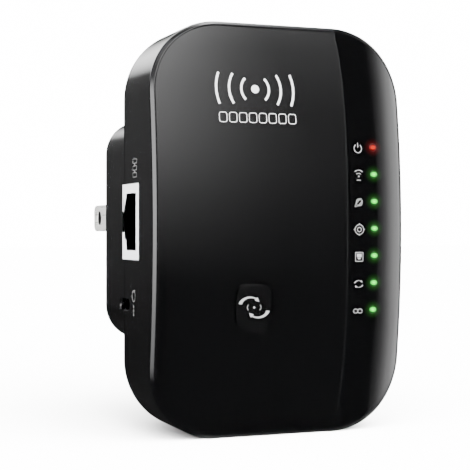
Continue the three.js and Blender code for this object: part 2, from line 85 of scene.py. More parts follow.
WIDTH = (HIGH.x - LOW.x) / MM
HEIGHT = (HIGH.z - LOW.z) / MM
HALF_W = WIDTH / 2
HALF_H = HEIGHT / 2
FRONT = (LOW.y - ORIGIN.y) / MM  # y of the front face at mid height
CORNER = 16.2
SKIN = 0.03  # the casing is drawn this much under size, so that print on it stays inside the frame
WALL = 1.8
DOME_RADIUS = 207
BEVEL_WIDTH = 0.8
BEVEL_RISE = 0.75
RIDGE = 0.15
GROOVE = 0.16  # dark line between the rim and the inlays
RECESS = 1.7  # from the front face back to the floor behind the inlays
PLATE = 1.4  # thickness of the inlays
CREASE_X = 14.8  # the crease is where the inlays meet, at mid height
CREASE_SWING = 1.15  # and how far it bends to the left at CREASE_HEIGHT
CREASE_HEIGHT = 43
CREASE_GAP = 0.03
STRIP_SLOPE = 0.06  # right of the crease the front falls back
STRIP_TURN = 20  # and from this x on it rolls off
STRIP_RADIUS = 32
SEAM = -1.0  # where the front shell meets the rear housing
SEAM_GAP = 0.05
BLOCK_INSET = 0.08
BLOCK_HEIGHT = 50.8
BLOCK_CORNER = 7.9
BUTTON_WIDTH, BUTTON_HEIGHT, BUTTON_CORNER = 7.8, 9.9, 2.7
BUTTON_GAP = 0.6
BUTTON_PROUD = 0.06  # how far the cap stands in front of the plate
BUTTON_MIDDLE = middle("pairing_button")
COLLAR_FRONT = -17.55
LED_X = middle("light_pipe_1")[0]
LED_Z = [middle(f"light_pipe_{i}")[1] for i in range(1, 8)]
LED_RADIUS = 0.95
BLADE_HOLE_Y = BLOCK_DEPTH + 11.9
BLADE_HOLE_RADIUS = 1.59
BLADE_Z = middle("line_blade")[1]
RESET_Y, RESET_Z, RESET_LENGTH, RESET_HEIGHT = -0.85, -16.5, 8.1, 2.6
VENT_WIDTH, VENT_HEIGHT, VENT_PITCH, VENT_Z = 1.4, 6, 3, 35
BLADES = ("line_blade", "neutral_blade")
ICON_X = 17.7
STROKE = 0.13  # of the pictograms


# ---------- the curved front ----------
def crease_x(z):
    """X of the crease between the two inlays at a height."""
    return CREASE_X - CREASE_SWING * (z / CREASE_HEIGHT) ** 6


def front_y(x, z):
    """Y of the front at (x, z): domed from top to bottom, tilted and rolled off right of the crease."""
    tilt = STRIP_SLOPE * np.maximum(0, x - crease_x(z))
    roll = np.maximum(0, x - STRIP_TURN)
    return FRONT + z * z / (2 * DOME_RADIUS) + tilt + roll * roll / (2 * STRIP_RADIUS)


def front_normal(x, z, side):
    """Outward normal of one inlay at (x, z). side is -1 left of the crease and 1 right of it."""
    slope_x = 0.0
    slope_z = z / DOME_RADIUS
    if side > 0:
        slope_x = STRIP_SLOPE + max(0.0, x - STRIP_TURN) / STRIP_RADIUS
        slope_z += STRIP_SLOPE * 6 * CREASE_SWING * z**5 / CREASE_HEIGHT**6
    return Vector((slope_x, -1, slope_z)).normalized()


# ---------- loops: arrays of points, anticlockwise ----------
def rounded_rect(width, height, radius, cx=0.0, cy=0.0, corner_steps=24, spacing=2.0):
    points = []
    hx, hy = width / 2 - radius, height / 2 - radius
    for start, sx, sy in ((-90, 1, -1), (0, 1, 1), (90, -1, 1), (180, -1, -1)):
        for i in range(corner_steps + 1):
            angle = math.radians(start + 90 * i / corner_steps)
            u = cx + sx * hx + radius * math.cos(angle)
            v = cy + sy * hy + radius * math.sin(angle)
            points.append((u, v))
    return densify(np.array(points), spacing)


def circle(radius, cx=0.0, cy=0.0, steps=48):
    angle = np.arange(steps) * 2 * math.pi / steps
    return np.stack([cx + radius * np.cos(angle), cy + radius * np.sin(angle)], 1)


def densify(loop, spacing):
    """Adds points so that no side is longer than the spacing."""
    points = []
    for a, b in zip(loop, np.roll(loop, -1, 0)):
        count = max(1, math.ceil(np.hypot(*(b - a)) / spacing))
        if np.hypot(*(b - a)) > 1e-9:
            points += [a + (b - a) * i / count for i in range(count)]
    return np.array(points)


def soften(loop, radius, steps=4):
    """Rounds every corner of a polygon."""
    points = []
    for before, here, after in zip(np.roll(loop, 1, 0), loop, np.roll(loop, -1, 0)):
        to_before, to_after = before - here, after - here
        reach = min(radius, np.hypot(*to_before) / 2.2, np.hypot(*to_after) / 2.2)
        start = here + to_before / np.hypot(*to_before) * reach
        end = here + to_after / np.hypot(*to_after) * reach
        for t in np.linspace(0, 1, steps + 1):
            points.append((1 - t) ** 2 * start + 2 * t * (1 - t) * here + t * t * end)
    return np.array(points)


def inwards(loop, distance):
    """The loop moved inwards by a distance."""
    ahead = np.roll(loop, -1, 0) - loop
    ahead /= np.linalg.norm(ahead, axis=1)[:, None]
    normal = np.stack([ahead[:, 1], -ahead[:, 0]], 1)
    previous = np.roll(normal, 1, 0)
    mitre = (normal + previous) / (1 + (normal * previous).sum(1))[:, None]
    return loop - mitre * distance


def rounded_edge(inset, level, radius, towards, steps=5):
    """Stations that carry an upright side over a rounded edge on to a face at the level.

    The body lies on the side of the face that `towards` (1 or -1) points to.
    """
    stations = []
    for i in range(steps + 1):
        angle = math.pi / 2 * i / steps
        drop = radius * (1 - math.sin(angle)) * towards
        stations.append((inset + radius * (1 - math.cos(angle)), shifted(level, drop)))
    return stations


def shifted(level, amount):
    """The level, which is a number or a function of a point, moved by an amount."""
    return (lambda x, z: level(x, z) + amount) if callable(level) else level + amount


# ---------- meshes ----------
AXES = {"x": (2, 0, 1), "y": (0, 2, 1), "z": (0, 1, 2)}  # where a loop's u, v and level go


def place(points, plane):
    """Moves points of (u, v, level) in millimetres into the frame."""
    order = AXES[plane]
    columns = [None] * 3
    columns[order.index(0)] = points[:, 0]
    columns[order.index(1)] = points[:, 1]
    columns[order.index(2)] = points[:, 2]
    return np.stack(columns, 1) * MM + np.array(ORIGIN)


def mesh_object(name, points, faces, smooth_angle=32):
    mesh = bpy.data.meshes.new(name)
    mesh.from_pydata([tuple(p) for p in points], [], faces)
    work = bmesh.new()
    work.from_mesh(mesh)
    bmesh.ops.remove_doubles(work, verts=work.verts, dist=1e-7)
    bmesh.ops.recalc_face_normals(work, faces=work.faces)
    work.to_mesh(mesh)
    work.free()
    obj = bpy.data.objects.new(name, mesh)
    bpy.context.scene.collection.objects.link(obj)
    smooth(obj, smooth_angle)
    return obj


def smooth(obj, angle=32):
    obj.data.shade_smooth()
    obj.data.set_sharp_from_angle(angle=math.radians(angle))


def ring_faces(first, second, count):
    """Faces between two rings of points that start at the indices first and second."""
    after = [(i + 1) % count for i in range(count)]
    return [(first + i, first + after[i], second + after[i], second + i) for i in range(count)]


def stack(name, loop, stations, plane="y", cap_rings=(1, 1), centre=None, smooth_angle=32):
    """A closed solid through copies of a loop. Each station is (inset, level), and the ends are capped.

    A level is a number or a function of the loop's point. A cap is one flat face, or runs to the centre
    in a number of rings.
    """
    centre = loop.mean(0) if centre is None else np.array(centre)
    copies = []
    first, last = inwards(loop, stations[0][0]), inwards(loop, stations[-1][0])
    for k in range(1, cap_rings[0]):
        copies.append((centre + (first - centre) * k / cap_rings[0], stations[0][1]))
    copies += [(inwards(loop, inset), level) for inset, level in stations]
    for k in range(cap_rings[1] - 1, 0, -1):
        copies.append((centre + (last - centre) * k / cap_rings[1], stations[-1][1]))
    points = [np.column_stack([flat, levels(flat, level)]) for flat, level in copies]
    count = len(loop)
    faces = []
    for k in range(len(copies) - 1):
        faces += ring_faces(k * count, (k + 1) * count, count)
    for end, base in ((0, 0), (-1, count * (len(copies) - 1))):
        if cap_rings[end] == 1:
            faces.append(tuple(range(base, base + count)))
            continue
        hub = sum(len(part) for part in points)
        points.append(np.column_stack([centre[None], levels(centre[None], stations[end][1])]))
        faces += [(hub, base + i, base + (i + 1) % count) for i in range(count)]
    return mesh_object(name, place(np.vstack(points), plane), faces, smooth_angle)


def levels(flat, level):
    """The level at each flat point."""
    if callable(level):
        return level(flat[:, 0], flat[:, 1])
    return np.full(len(flat), float(level))


def carried_round(name, loop, section, smooth_angle=32):
    """A closed section carried round a loop in X and Z. Each section point is (inset, level)."""
    rings = []
    for inset, level in section:
        flat = inwards(loop, inset)
        rings.append(np.column_stack([flat, levels(flat, level)]))
    count = len(loop)
    faces = []
    for k in range(len(rings)):
        faces += ring_faces(k * count, (k + 1) % len(rings) * count, count)
    return mesh_object(name, place(np.vstack(rings), "y"), faces, smooth_angle)


def bake(obj):
    """Replaces an object's mesh by what its modifiers make of it."""
    graph = bpy.context.evaluated_depsgraph_get()
    made = bpy.data.meshes.new_from_object(obj.evaluated_get(graph))
    obj.modifiers.clear()
    obj.data = made


def combine(obj, others, operation, smooth_angle=32):
    """Joins, cuts or crosses an object with others, which are used up."""
    for other in others:
        modifier = obj.modifiers.new("combine", "BOOLEAN")
        modifier.operation = operation
        modifier.solver = "MANIFOLD"
        modifier.object = other
    bake(obj)
    for other in others:
        bpy.data.objects.remove(other)
    smooth(obj, smooth_angle)
    return obj


def merged(name, objects):
    """One object that holds the meshes of several separate solids."""
    work = bmesh.new()
    for obj in objects:
        work.from_mesh(obj.data)
        bpy.data.objects.remove(obj)
    mesh = bpy.data.meshes.new(name)
    work.to_mesh(mesh)
    work.free()
    made = bpy.data.objects.new(name, mesh)
    bpy.context.scene.collection.objects.link(made)
    smooth(made)
    return made


def block(name, low, high, edge=0.0, plane="y"):
    """A box with rounded edges, standing along the plane's axis."""
    order = AXES[plane]
    lo = [low[order.index(k)] for k in range(3)]
    hi = [high[order.index(k)] for k in range(3)]
    radius = max(edge, 0.02)
    centre = ((lo[0] + hi[0]) / 2, (lo[1] + hi[1]) / 2)
    loop = rounded_rect(hi[0] - lo[0], hi[1] - lo[1], radius, *centre, corner_steps=4, spacing=50)
    lower = rounded_edge(0, lo[2], radius * 0.98, 1, 3)[::-1]
    upper = rounded_edge(0, hi[2], radius * 0.98, -1, 3)
    return stack(name, loop, lower + upper, plane)


def even_normals(obj):
    """Bakes normals in which the larger faces count for more, so that flat walls stay flat."""
    modifier = obj.modifiers.new("even", "WEIGHTED_NORMAL")
    modifier.keep_sharp = True
    modifier.weight = 80
    bake(obj)
    return obj


def true_normals(obj, side):
    """Gives the faces that lie on the curved front their exact normals."""
    mesh = obj.data
    wanted = []
    for polygon in mesh.polygons:
        for loop in polygon.loop_indices:
            x, _, z = (mesh.vertices[mesh.loops[loop].vertex_index].co - ORIGIN) / MM
            exact = front_normal(x, z, side)
            wanted.append(exact if polygon.normal.dot(exact) > 0.995 else Vector((0, 0, 0)))
    mesh.normals_split_custom_set(wanted)


# ---------- materials ----------
def material(name, color, roughness, metallic=0.0):
    made = bpy.data.materials.new(name)
    made.use_nodes = True
    bsdf = made.node_tree.nodes["Principled BSDF"]
    bsdf.inputs["Base Color"].default_value = (*color, 1)
    bsdf.inputs["Roughness"].default_value = roughness
    bsdf.inputs["Metallic"].default_value = metallic
    return made, made.node_tree, bsdf


def node(tree, kind, inputs=None, **settings):
    made = tree.nodes.new(kind)
    for key, value in settings.items():
        setattr(made, key, value)
    for key, value in (inputs or {}).items():
        if isinstance(value, bpy.types.NodeSocket):
            tree.links.new(value, made.inputs[key])
        else:
            made.inputs[key].default_value = value
    return made


def math_node(tree, operation, *values):
    return node(tree, "ShaderNodeMath", dict(enumerate(values)), operation=operation).outputs[0]


def product(tree, first, second):
    return math_node(tree, "MULTIPLY", first, second)


def total(tree, first, second):
    return math_node(tree, "ADD", first, second)


def difference(tree, first, second):
    return math_node(tree, "SUBTRACT", first, second)


def noise(tree, scale, detail=3.0, stretch=(1, 1, 1)):
    """Noise in the object's own space. The scale is in features per metre."""
    space = node(tree, "ShaderNodeTexCoord").outputs["Object"]
    stretched = node(tree, "ShaderNodeMapping", {"Vector": space, "Scale": stretch}).outputs[0]
    made = node(tree, "ShaderNodeTexNoise", {"Vector": stretched, "Scale": scale, "Detail": detail})
    return made.outputs["Fac"]


def map_range(tree, value, start, end, low=0.0, high=1.0):
    """Maps the range from start to end on to the range from low to high, and stays level past it."""
    limits = {"Value": value, "From Min": start, "From Max": end, "To Min": low, "To Max": high}
    return node(tree, "ShaderNodeMapRange", limits).outputs[0]


def ramped(tree, value, low, high):
    """Maps noise, which mostly lies between 0.3 and 0.7, on to a range."""
    return map_range(tree, value, 0.3, 0.7, low, high)


def mixed_color(tree, factor, first, second):
    """A mix of two colours, each of them a tuple or a socket."""
    made = node(tree, "ShaderNodeMix", data_type="RGBA")
    tree.links.new(factor, made.inputs["Factor"])
    for key, color in (("A", first), ("B", second)):
        if isinstance(color, bpy.types.NodeSocket):
            tree.links.new(color, made.inputs[key])
        else:
            made.inputs[key].default_value = (*color, 1)
    return made.outputs["Result"]


def position(tree):
    """X, Y and Z in the unit's own millimetres, as sockets."""
    space = node(tree, "ShaderNodeTexCoord").outputs["Object"]
    split = node(tree, "ShaderNodeSeparateXYZ", {0: space})
    moved = [difference(tree, split.outputs[i], ORIGIN[i]) for i in range(3)]
    return [math_node(tree, "DIVIDE", value, MM) for value in moved]


def slant(tree, first, second):
    """Length of the long side of a right-angled triangle."""
    squares = [product(tree, side, side) for side in (first, second)]
    return math_node(tree, "SQRT", total(tree, *squares))


def bump(tree, bsdf, height, strength, distance):
    made = node(tree, "ShaderNodeBump", {"Height": height, "Strength": strength, "Distance": distance})
    tree.links.new(made.outputs[0], bsdf.inputs["Normal"])


def moulded(name, color, roughness, spread=0.04, grain=9000.0, depth=0.00001, strength=0.15):
    """Moulded plastic: slightly uneven gloss, a faint change of shade and a fine grain."""
    made, tree, bsdf = material(name, color, roughness)
    gloss = ramped(tree, noise(tree, 160), roughness - spread, roughness + spread)
    tree.links.new(gloss, bsdf.inputs["Roughness"])
    darker, lighter = [c * 0.85 for c in color], [c * 1.15 for c in color]
    tree.links.new(mixed_color(tree, noise(tree, 60), darker, lighter), bsdf.inputs["Base Color"])
    bump(tree, bsdf, noise(tree, grain, 2), strength, depth)
    return made


def polished(name, color, roughness):
    """Polished plastic, with hairline wiping marks in its gloss and a very faint ripple."""
    made, tree, bsdf = material(name, color, roughness)
    marks = product(tree, noise(tree, 900, 4, (1, 1, 0.06)), noise(tree, 45, 2))
    gloss = map_range(tree, marks, 0.15, 0.4, roughness, roughness * 1.5)
    tree.links.new(gloss, bsdf.inputs["Roughness"])
    bump(tree, bsdf, noise(tree, 260, 1), 0.02, 0.00001)
    return made, tree, bsdf


def matt(name, color):
    """Rough plastic without a sheen."""
    made, _, bsdf = polished(name, color, 0.9)
    bsdf.inputs["Specular IOR Level"].default_value = 0.0
    return made


def metal(name, color, roughness, brushing=(1, 1, 1), metallic=1.0, strength=0.1):
    """Metal with uneven roughness and a brushed or rolled grain."""
    made, tree, bsdf = material(name, color, roughness, metallic)
    grain = noise(tree, 2500, 4, brushing)
    tree.links.new(ramped(tree, grain, roughness * 0.75, roughness * 1.3), bsdf.inputs["Roughness"])
    darker = [c * 0.86 for c in color]
    tree.links.new(mixed_color(tree, noise(tree, 400, 3), darker, color), bsdf.inputs["Base Color"])
    bump(tree, bsdf, grain, strength, 0.00001)
    return made


def metal_with_painted_hole_shade(name, color, roughness, metallic, hole):
    """Brushed metal with painted shade inside a hole through X, where it is painted near black. The hole is
    (y, z, radius).
    """
    made = metal(name, color, roughness, (1, 0.05, 1), metallic)
    tree = made.node_tree
    base = tree.nodes["Principled BSDF"].inputs["Base Color"]
    _, y, z = position(tree)
    away = slant(tree, difference(tree, y, hole[0]), difference(tree, z, hole[1]))
    # painted shade: everything within the radius of the hole's axis is painted near black
    inside = math_node(tree, "LESS_THAN", away, hole[2])
    tree.links.new(mixed_color(tree, inside, base.links[0].from_socket, (0.003, 0.003, 0.003)), base)
    return made


def printed_ink(name, color):
    """Printed white ink, with a faint mottle and a fine grain."""
    made, tree, bsdf = material(name, color, 0.5)
    mottled = mixed_color(tree, noise(tree, 3000, 3), [c * 0.88 for c in color], color)
    tree.links.new(mottled, bsdf.inputs["Base Color"])
    bump(tree, bsdf, noise(tree, 6000, 2), 0.2, 0.00001)
    return made


def glow_distance(tree, tall=1.5):
    """Distance from the nearest light in the column, seen from the front, and the height, in millimetres.

    Heights count `tall` times, so that a spot is wider than it is high.
    """
    x, _, height = position(tree)
    pitch = LED_Z[0] - LED_Z[1]
    across = difference(tree, x, LED_X)
    above = math_node(tree, "DIVIDE", difference(tree, height, LED_Z[-1]), pitch)
    whole = product(tree, math_node(tree, "ROUND", above), pitch)
    nearest = total(tree, math_node(tree, "MAXIMUM", whole, 0.0), LED_Z[-1])
    nearest = math_node(tree, "MINIMUM", nearest, LED_Z[0])
    up = product(tree, difference(tree, height, nearest), tall)
    return slant(tree, across, up), height


# painted glow: tints that the smoked window emits around its lights
GREEN_GLOW = (0.013, 0.09, 0.009)
RED_GLOW = (0.1, 0.002, 0.002)


def lit_strip(name):
    """The smoked strip, with a soft glow painted into it as emission around each light. The top light is
    red.
    """
    made, tree, bsdf = polished(name, (0.0003, 0.0003, 0.00033), 0.035)
    distance, height = glow_distance(tree, 1.1)
    top = math_node(tree, "GREATER_THAN", height, (LED_Z[0] + LED_Z[1]) / 2)
    fade = math_node(tree, "POWER", map_range(tree, distance, 0.8, 2.5, 1.0, 0.0), 1.8)
    tree.links.new(mixed_color(tree, top, GREEN_GLOW, RED_GLOW), bsdf.inputs["Emission Color"])
    tree.links.new(fade, bsdf.inputs["Emission Strength"])
    return made


def lit_pipe(name, core, middle_tint, edge):
    """A lit pipe end: bright in its middle and deeper towards its edge. The tints are radiances."""
    made, tree, bsdf = material(name, [0.01 * c for c in edge], 0.3)
    distance, _ = glow_distance(tree)
    cloudy = total(tree, distance, ramped(tree, noise(tree, 4000, 2), -0.04, 0.04))
    centre = mixed_color(tree, map_range(tree, cloudy, 0.3, 0.64), core, middle_tint)
    whole = mixed_color(tree, map_range(tree, cloudy, 0.64, 0.98), centre, edge)
    tree.links.new(whole, bsdf.inputs["Emission Color"])
    bsdf.inputs["Emission Strength"].default_value = 1.0
    bsdf.inputs["Specular IOR Level"].default_value = 0.1
    return made


GLOSS = polished("gloss_black", (0.00029, 0.00029, 0.00032), 0.05)[0]
CASING = moulded("casing_black", (0.0005, 0.0005, 0.0006), 0.11, 0.015, 5000, strength=0.05)
STRIP = lit_strip("smoked_window")
BUTTON = polished("button_black", (0.00042, 0.00042, 0.00046), 0.14)[0]
COLLAR = matt("collar_black", (0.0001, 0.0001, 0.0001))
INK = printed_ink("print_white", (0.18, 0.18, 0.18))
FINE_INK = printed_ink("fine_print_white", (0.075, 0.075, 0.075))
# the blade's hole is painted near black as shade
BLADE = metal_with_painted_hole_shade("blade_nickel", (0.36, 0.36, 0.35), 0.32, 0.4, (BLADE_HOLE_Y, BLADE_Z, 1.7))
TIN = metal("jack_tin", (0.66, 0.66, 0.67), 0.4, (1, 1, 0.1), 0.15, 0.05)
GOLD = metal("contact_gold", (0.83, 0.56, 0.2), 0.25, (0.1, 1, 1))
STEEL = metal("screw_steel", (0.5, 0.5, 0.51), 0.33)
NYLON = moulded("insulator_black", (0.004, 0.004, 0.0042), 0.5, 0.08, 6000, 0.00002, 0.3)
EPOXY = moulded("chip_black", (0.012, 0.012, 0.013), 0.55, 0.1, 12000, 0.00003, 0.4)
MASK = moulded("board_green", (0.01, 0.12, 0.045), 0.35, 0.1, 1500, 0.00002, 0.2)
CERAMIC = moulded("led_body", (0.75, 0.7, 0.5), 0.4, 0.05)
LACQUER = moulded("resistor_body", (0.1, 0.26, 0.38), 0.3)
FERRITE = moulded("ferrite", (0.035, 0.035, 0.037), 0.7, 0.1, 8000, 0.00003, 0.5)
TAPE = moulded("tape_yellow", (0.75, 0.52, 0.06), 0.35, 0.08, 700, 0.00003, 0.3)
SLEEVE = moulded("capacitor_can", (0.02, 0.035, 0.12), 0.3)
BLACK_WIRE = moulded("wire_black", (0.01, 0.01, 0.01), 0.45)
BLUE_WIRE = moulded("wire_blue", (0.015, 0.05, 0.3), 0.45)
RED_WIRE = moulded("wire_red", (0.4, 0.02, 0.02), 0.45)
GREEN_PIPE = lit_pipe("light_green", (0.03, 6.0, 0.03), (0.1, 1.1, 0.15), (0.016, 0.1, 0.011))
RED_PIPE = lit_pipe("light_red", (1.65, 0.047, 0.01), (0.6, 0.012, 0.004), (0.11, 0.003, 0.002))


def paint(obj, made):
    obj.data.materials.clear()
    obj.data.materials.append(made)


def finished(obj, made, slot, *nodes, body="casing"):
    """Paints a piece, lets it ride on a body, and puts it in the place of CAD nodes."""
    paint(obj, made)
    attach(obj, body)
    if nodes:
        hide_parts(*nodes)


# ---------- casing ----------
def body_loop(inset=0.0):
    return rounded_rect(
        WIDTH - 2 * SKIN - 2 * inset, HEIGHT - 2 * SKIN - 2 * inset, CORNER - SKIN - inset, corner_steps=40
    )


def curved(offset):
    """A level that lies an offset behind the curved front."""
    return lambda x, z: front_y(x, z) + offset


JACK_LOW, JACK_HIGH = span("jack_shield")


def jack_opening(clearance):
    low = (-HALF_W - 5, JACK_LOW.y - clearance, JACK_LOW.z - clearance)
    high = (-HALF_W + 5, JACK_HIGH.y + clearance, JACK_HIGH.z + clearance)
    return block("jack_opening", low, high, 0.1, "x")


def reset_opening():
    """An obround cut with a softened mouth, driven in from the left side."""
    loop = rounded_rect(RESET_LENGTH, RESET_HEIGHT, RESET_HEIGHT / 2 - 0.01, RESET_Y, RESET_Z, spacing=1)
    mouth = -HALF_W + SKIN
    stations = [(-0.08, mouth - 1), (-0.08, mouth - 0.01), (-0.03, mouth + 0.03)]
    stations += [(0, mouth + 0.08), (0, mouth + 4)]
    return stack("reset_opening", loop, stations, "x")


def front_shell():
    """The walls with their bevelled rim, and the floor behind the inlays."""
    loop = body_loop()
    inner = BEVEL_WIDTH + RIDGE
    end = SEAM - SEAM_GAP / 2
    wall_turn, face_turn, lip_turn = 0.3, 0.12, 0.08
    turn = 0.3
    section = [(WALL, end), (turn, end)]
    for angle in np.linspace(0.3, math.pi / 2, 5):
        section.append((turn * (1 - math.sin(angle)), end - turn * (1 - math.cos(angle))))
    section += [(0, curved(BEVEL_RISE + wall_turn))]
    section += bent((0, BEVEL_RISE + wall_turn), (0, BEVEL_RISE), (BEVEL_WIDTH, 0), wall_turn)
    section += bent((0, BEVEL_RISE), (BEVEL_WIDTH, 0), (inner, 0.03), face_turn)
    section += bent((BEVEL_WIDTH, 0), (inner, 0.03), (inner, RECESS), lip_turn)
    section += [(inner, curved(RECESS)), (WALL, curved(RECESS))]
    rim = carried_round("front_shell_skin", loop, section, 40)
    floor_stations = [(0, curved(RECESS)), (0, curved(RECESS + 1.5))]
    floor_wall = stack("floor", body_loop(inner - 0.02), floor_stations, "y", (12, 12))
    combine(rim, [jack_opening(0.1), reset_opening()], "DIFFERENCE", 40)
    return even_normals(merged("front_shell_skin", [rim, floor_wall]))


def bent(before, corner, after, radius, steps=4):
    """Section points that round a corner between two straight runs, following the curved front."""
    before, corner, after = np.array(before, float), np.array(corner, float), np.array(after, float)
    start = corner + (before - corner) / np.hypot(*(before - corner)) * radius
    end = corner + (after - corner) / np.hypot(*(after - corner)) * radius
    points = []
    for t in np.linspace(0, 1, steps + 1):
        inset, rise = (1 - t) ** 2 * start + 2 * t * (1 - t) * corner + t * t * end
        points.append((inset, curved(rise)))
    return points


def edge_height(x, inset):
    """Height of the body's outline, moved inwards, above a point on its top or bottom side."""
    past = max(0.0, x - (HALF_W - CORNER))
    radius = CORNER - inset
    return HALF_H - CORNER + math.sqrt(radius * radius - past * past)


def inlay_loop(side, inset):
    """Outline of the inlay left (-1) or right (1) of the crease."""
    top = HALF_H
    for _ in range(20):
        top = edge_height(crease_x(top) + side * CREASE_GAP, inset)
    z = np.linspace(-top, top, 60)
    crease = np.column_stack([crease_x(z) + side * CREASE_GAP, z])
    outline = rounded_rect(WIDTH - 2 * inset, HEIGHT - 2 * inset, CORNER - inset, corner_steps=40)
    keep = side * (outline[:, 0] - crease_x(outline[:, 1]) - side * CREASE_GAP) > 0.05
    start = next(i for i in range(len(keep)) if keep[i] and not keep[i - 1])
    outline = np.roll(outline, -start, 0)[: keep.sum()]
    if side > 0:
        return np.vstack([outline, crease[::-1]])
    return np.vstack([crease, outline])


def inlay(name, side, centre):
    """One of the two plates that lie in the front, left (-1) or right (1) of the crease."""
    loop = inlay_loop(side, BEVEL_WIDTH + RIDGE + GROOVE)
    stations = [(0, curved(PLATE)), (0, curved(0.3))] + rounded_edge(0, curved(0), 0.03, 1, 3)
    return stack(name, loop, stations, "y", (8, 26), centre, 60)


def button_loop(grow=0.0):
    width, height = BUTTON_WIDTH + 2 * grow, BUTTON_HEIGHT + 2 * grow
    return rounded_rect(width, height, BUTTON_CORNER + grow, *BUTTON_MIDDLE, corner_steps=12, spacing=1)


def flared(name, loop, radius):
    """A cutter that goes through an inlay and softens the edge of the hole that it leaves."""
    stations = [(0, 0), (0, curved(radius))]
    for angle in (0.5, 1.0, 1.57):
        stations.append((-radius * (1 - math.cos(angle)), curved(radius * (1 - math.sin(angle)))))
    return stack(name, loop, stations + [(-radius, curved(-1))], "y")


def face_plate():
    plate = inlay("face_plate_skin", -1, (-6, 0))
    combine(plate, [flared("button_hole", button_loop(BUTTON_GAP), 0.01)], "DIFFERENCE", 60)
    true_normals(plate, -1)
    return plate


def indicator_window():
    strip = inlay("indicator_strip", 1, (23.5, 0))
    holes = [flared("hole", circle(LED_RADIUS + 0.04, LED_X, z, 32), 0.03) for z in LED_Z]
    combine(strip, holes, "DIFFERENCE", 60)
    true_normals(strip, 1)
    return strip


def vents():
    """Cutters for two rows of nine slots with softened mouths."""
    stations = [(0, -5), (0, -0.25), (-0.12, -0.06), (-0.25, 0.02), (-0.25, 1)]
    cutters = []
    for i in range(-4, 5):
        for side in (-1, 1):
            x, z = VENT_PITCH * i, VENT_Z * side
            slot = rounded_rect(VENT_WIDTH, VENT_HEIGHT, 0.65, x, z, corner_steps=6, spacing=3)
            cutters.append(stack("vent", slot, stations, "y"))
    return cutters


def screw_recesses():
    """Cutters for the screws' clearance holes and counterbores."""
    stations = [(1.1, -9), (1.1, -1.5), (0, -1.5), (0, -0.2), (-0.1, -0.05), (-0.2, 0.02), (-0.2, 1)]
    places = [middle(f"housing_screw_{i}") for i in range(1, 5)]
    return [stack("recess", circle(2.45, x, z), stations, "y") for x, z in places]


def blade_slots():
    """Cutters for the slots that the blades come out of."""
    stations = [(0, 5), (0, BLOCK_DEPTH - 0.3), (-0.1, BLOCK_DEPTH - 0.08)]
    stations += [(-0.25, BLOCK_DEPTH + 0.02), (-0.25, BLOCK_DEPTH + 1)]
    cutters = []
    for name in BLADES:
        low, high = span(name)
        loop = rounded_rect(high.x - low.x + 0.3, high.z - low.z + 0.3, 0.3, *middle(name), 4, 4)
        cutters.append(stack("blade_slot", loop, stations, "y"))
    return cutters


def rear_housing():
    """The back plate, with a lip inside the front shell, and the hollow plug block."""
    flange_front = SEAM + SEAM_GAP / 2
    loop = body_loop()
    flange_stations = [(0.25, flange_front), (0.07, flange_front + 0.05), (0, flange_front + 0.2)]
    flange_stations += rounded_edge(0, 0, 0.4, -1, 6)
    flange = stack("rear_housing_skin", loop, flange_stations, "y")
    lip = carried_round("lip", loop, [(2.1, -3.2), (3.3, -3.2), (3.3, -0.3), (2.1, -0.3)])
    width = WIDTH - 2 * BLOCK_INSET
    outer = rounded_rect(width, BLOCK_HEIGHT, BLOCK_CORNER, corner_steps=24, spacing=2.5)
    power = stack("power_block", outer, [(0, -0.3)] + rounded_edge(0, BLOCK_DEPTH, 0.5, -1, 7), "y")
    combine(flange, [lip, power], "UNION", 40)
    cavity = rounded_rect(WIDTH - 3, BLOCK_HEIGHT - 3, BLOCK_CORNER - 1.4)
    throat = rounded_rect(WIDTH - 6.7, BLOCK_HEIGHT - 6.7, BLOCK_CORNER - 3.3)
    cutters = [
        stack("cavity", cavity, [(0, 0.2), (0, BLOCK_DEPTH - 1.8)], "y"),
        stack("throat", throat, [(0, -9), (0, 1)], "y"),
        jack_opening(0.1),
        reset_opening(),
    ]
    cutters += vents() + screw_recesses() + blade_slots()
    return even_normals(combine(flange, cutters, "DIFFERENCE", 40))


# ---------- controls, blades and fasteners ----------
def button_collar():
    """The wider collar behind the cap, with a stem at its back."""
    stem = stack("stem", circle(1.2, *BUTTON_MIDDLE), [(0, -16.7), (0, -17.2)], "y")
    collar = stack("button_collar", button_loop(1), [(0, -16.9), (0, COLLAR_FRONT)], "y")
    return combine(collar, [stem], "UNION", 50)


def pairing_button():
    """The cap, whose face is curved like the plate around it."""
    stations = [(0, COLLAR_FRONT)] + rounded_edge(0, curved(-BUTTON_PROUD), 0.02, 1, 4)
    return stack("button_cap", button_loop(), stations, "y", (1, 8), None, 50)


def blade(node_name):
    """A flat blade with rounded long edges, a tapered nose and a drilled hole."""
    low, high = span(node_name)
    nose = 1.1
    profile = np.array([
        (low.y, low.z), (high.y - nose, low.z), (high.y, low.z + 1.0),
        (high.y, high.z - 1.0), (high.y - nose, high.z), (low.y, high.z),
    ])
    loop = densify(soften(profile, 0.9, 6), 1.5)
    stations = rounded_edge(0, low.x, 0.28, 1, 4)[::-1] + rounded_edge(0, high.x, 0.28, -1, 4)
    made = stack(f"{node_name}_skin", loop, stations, "x")
    hole = circle(BLADE_HOLE_RADIUS, BLADE_HOLE_Y, BLADE_Z, 40)
    soft = 0.25
    drill = [(-soft, low.x - 1), (-soft, low.x), (0, low.x + soft)]
    drill += [(0, high.x - soft), (-soft, high.x), (-soft, high.x + 1)]
    return even_normals(combine(made, [stack("drill", hole, drill, "x")], "DIFFERENCE", 40))


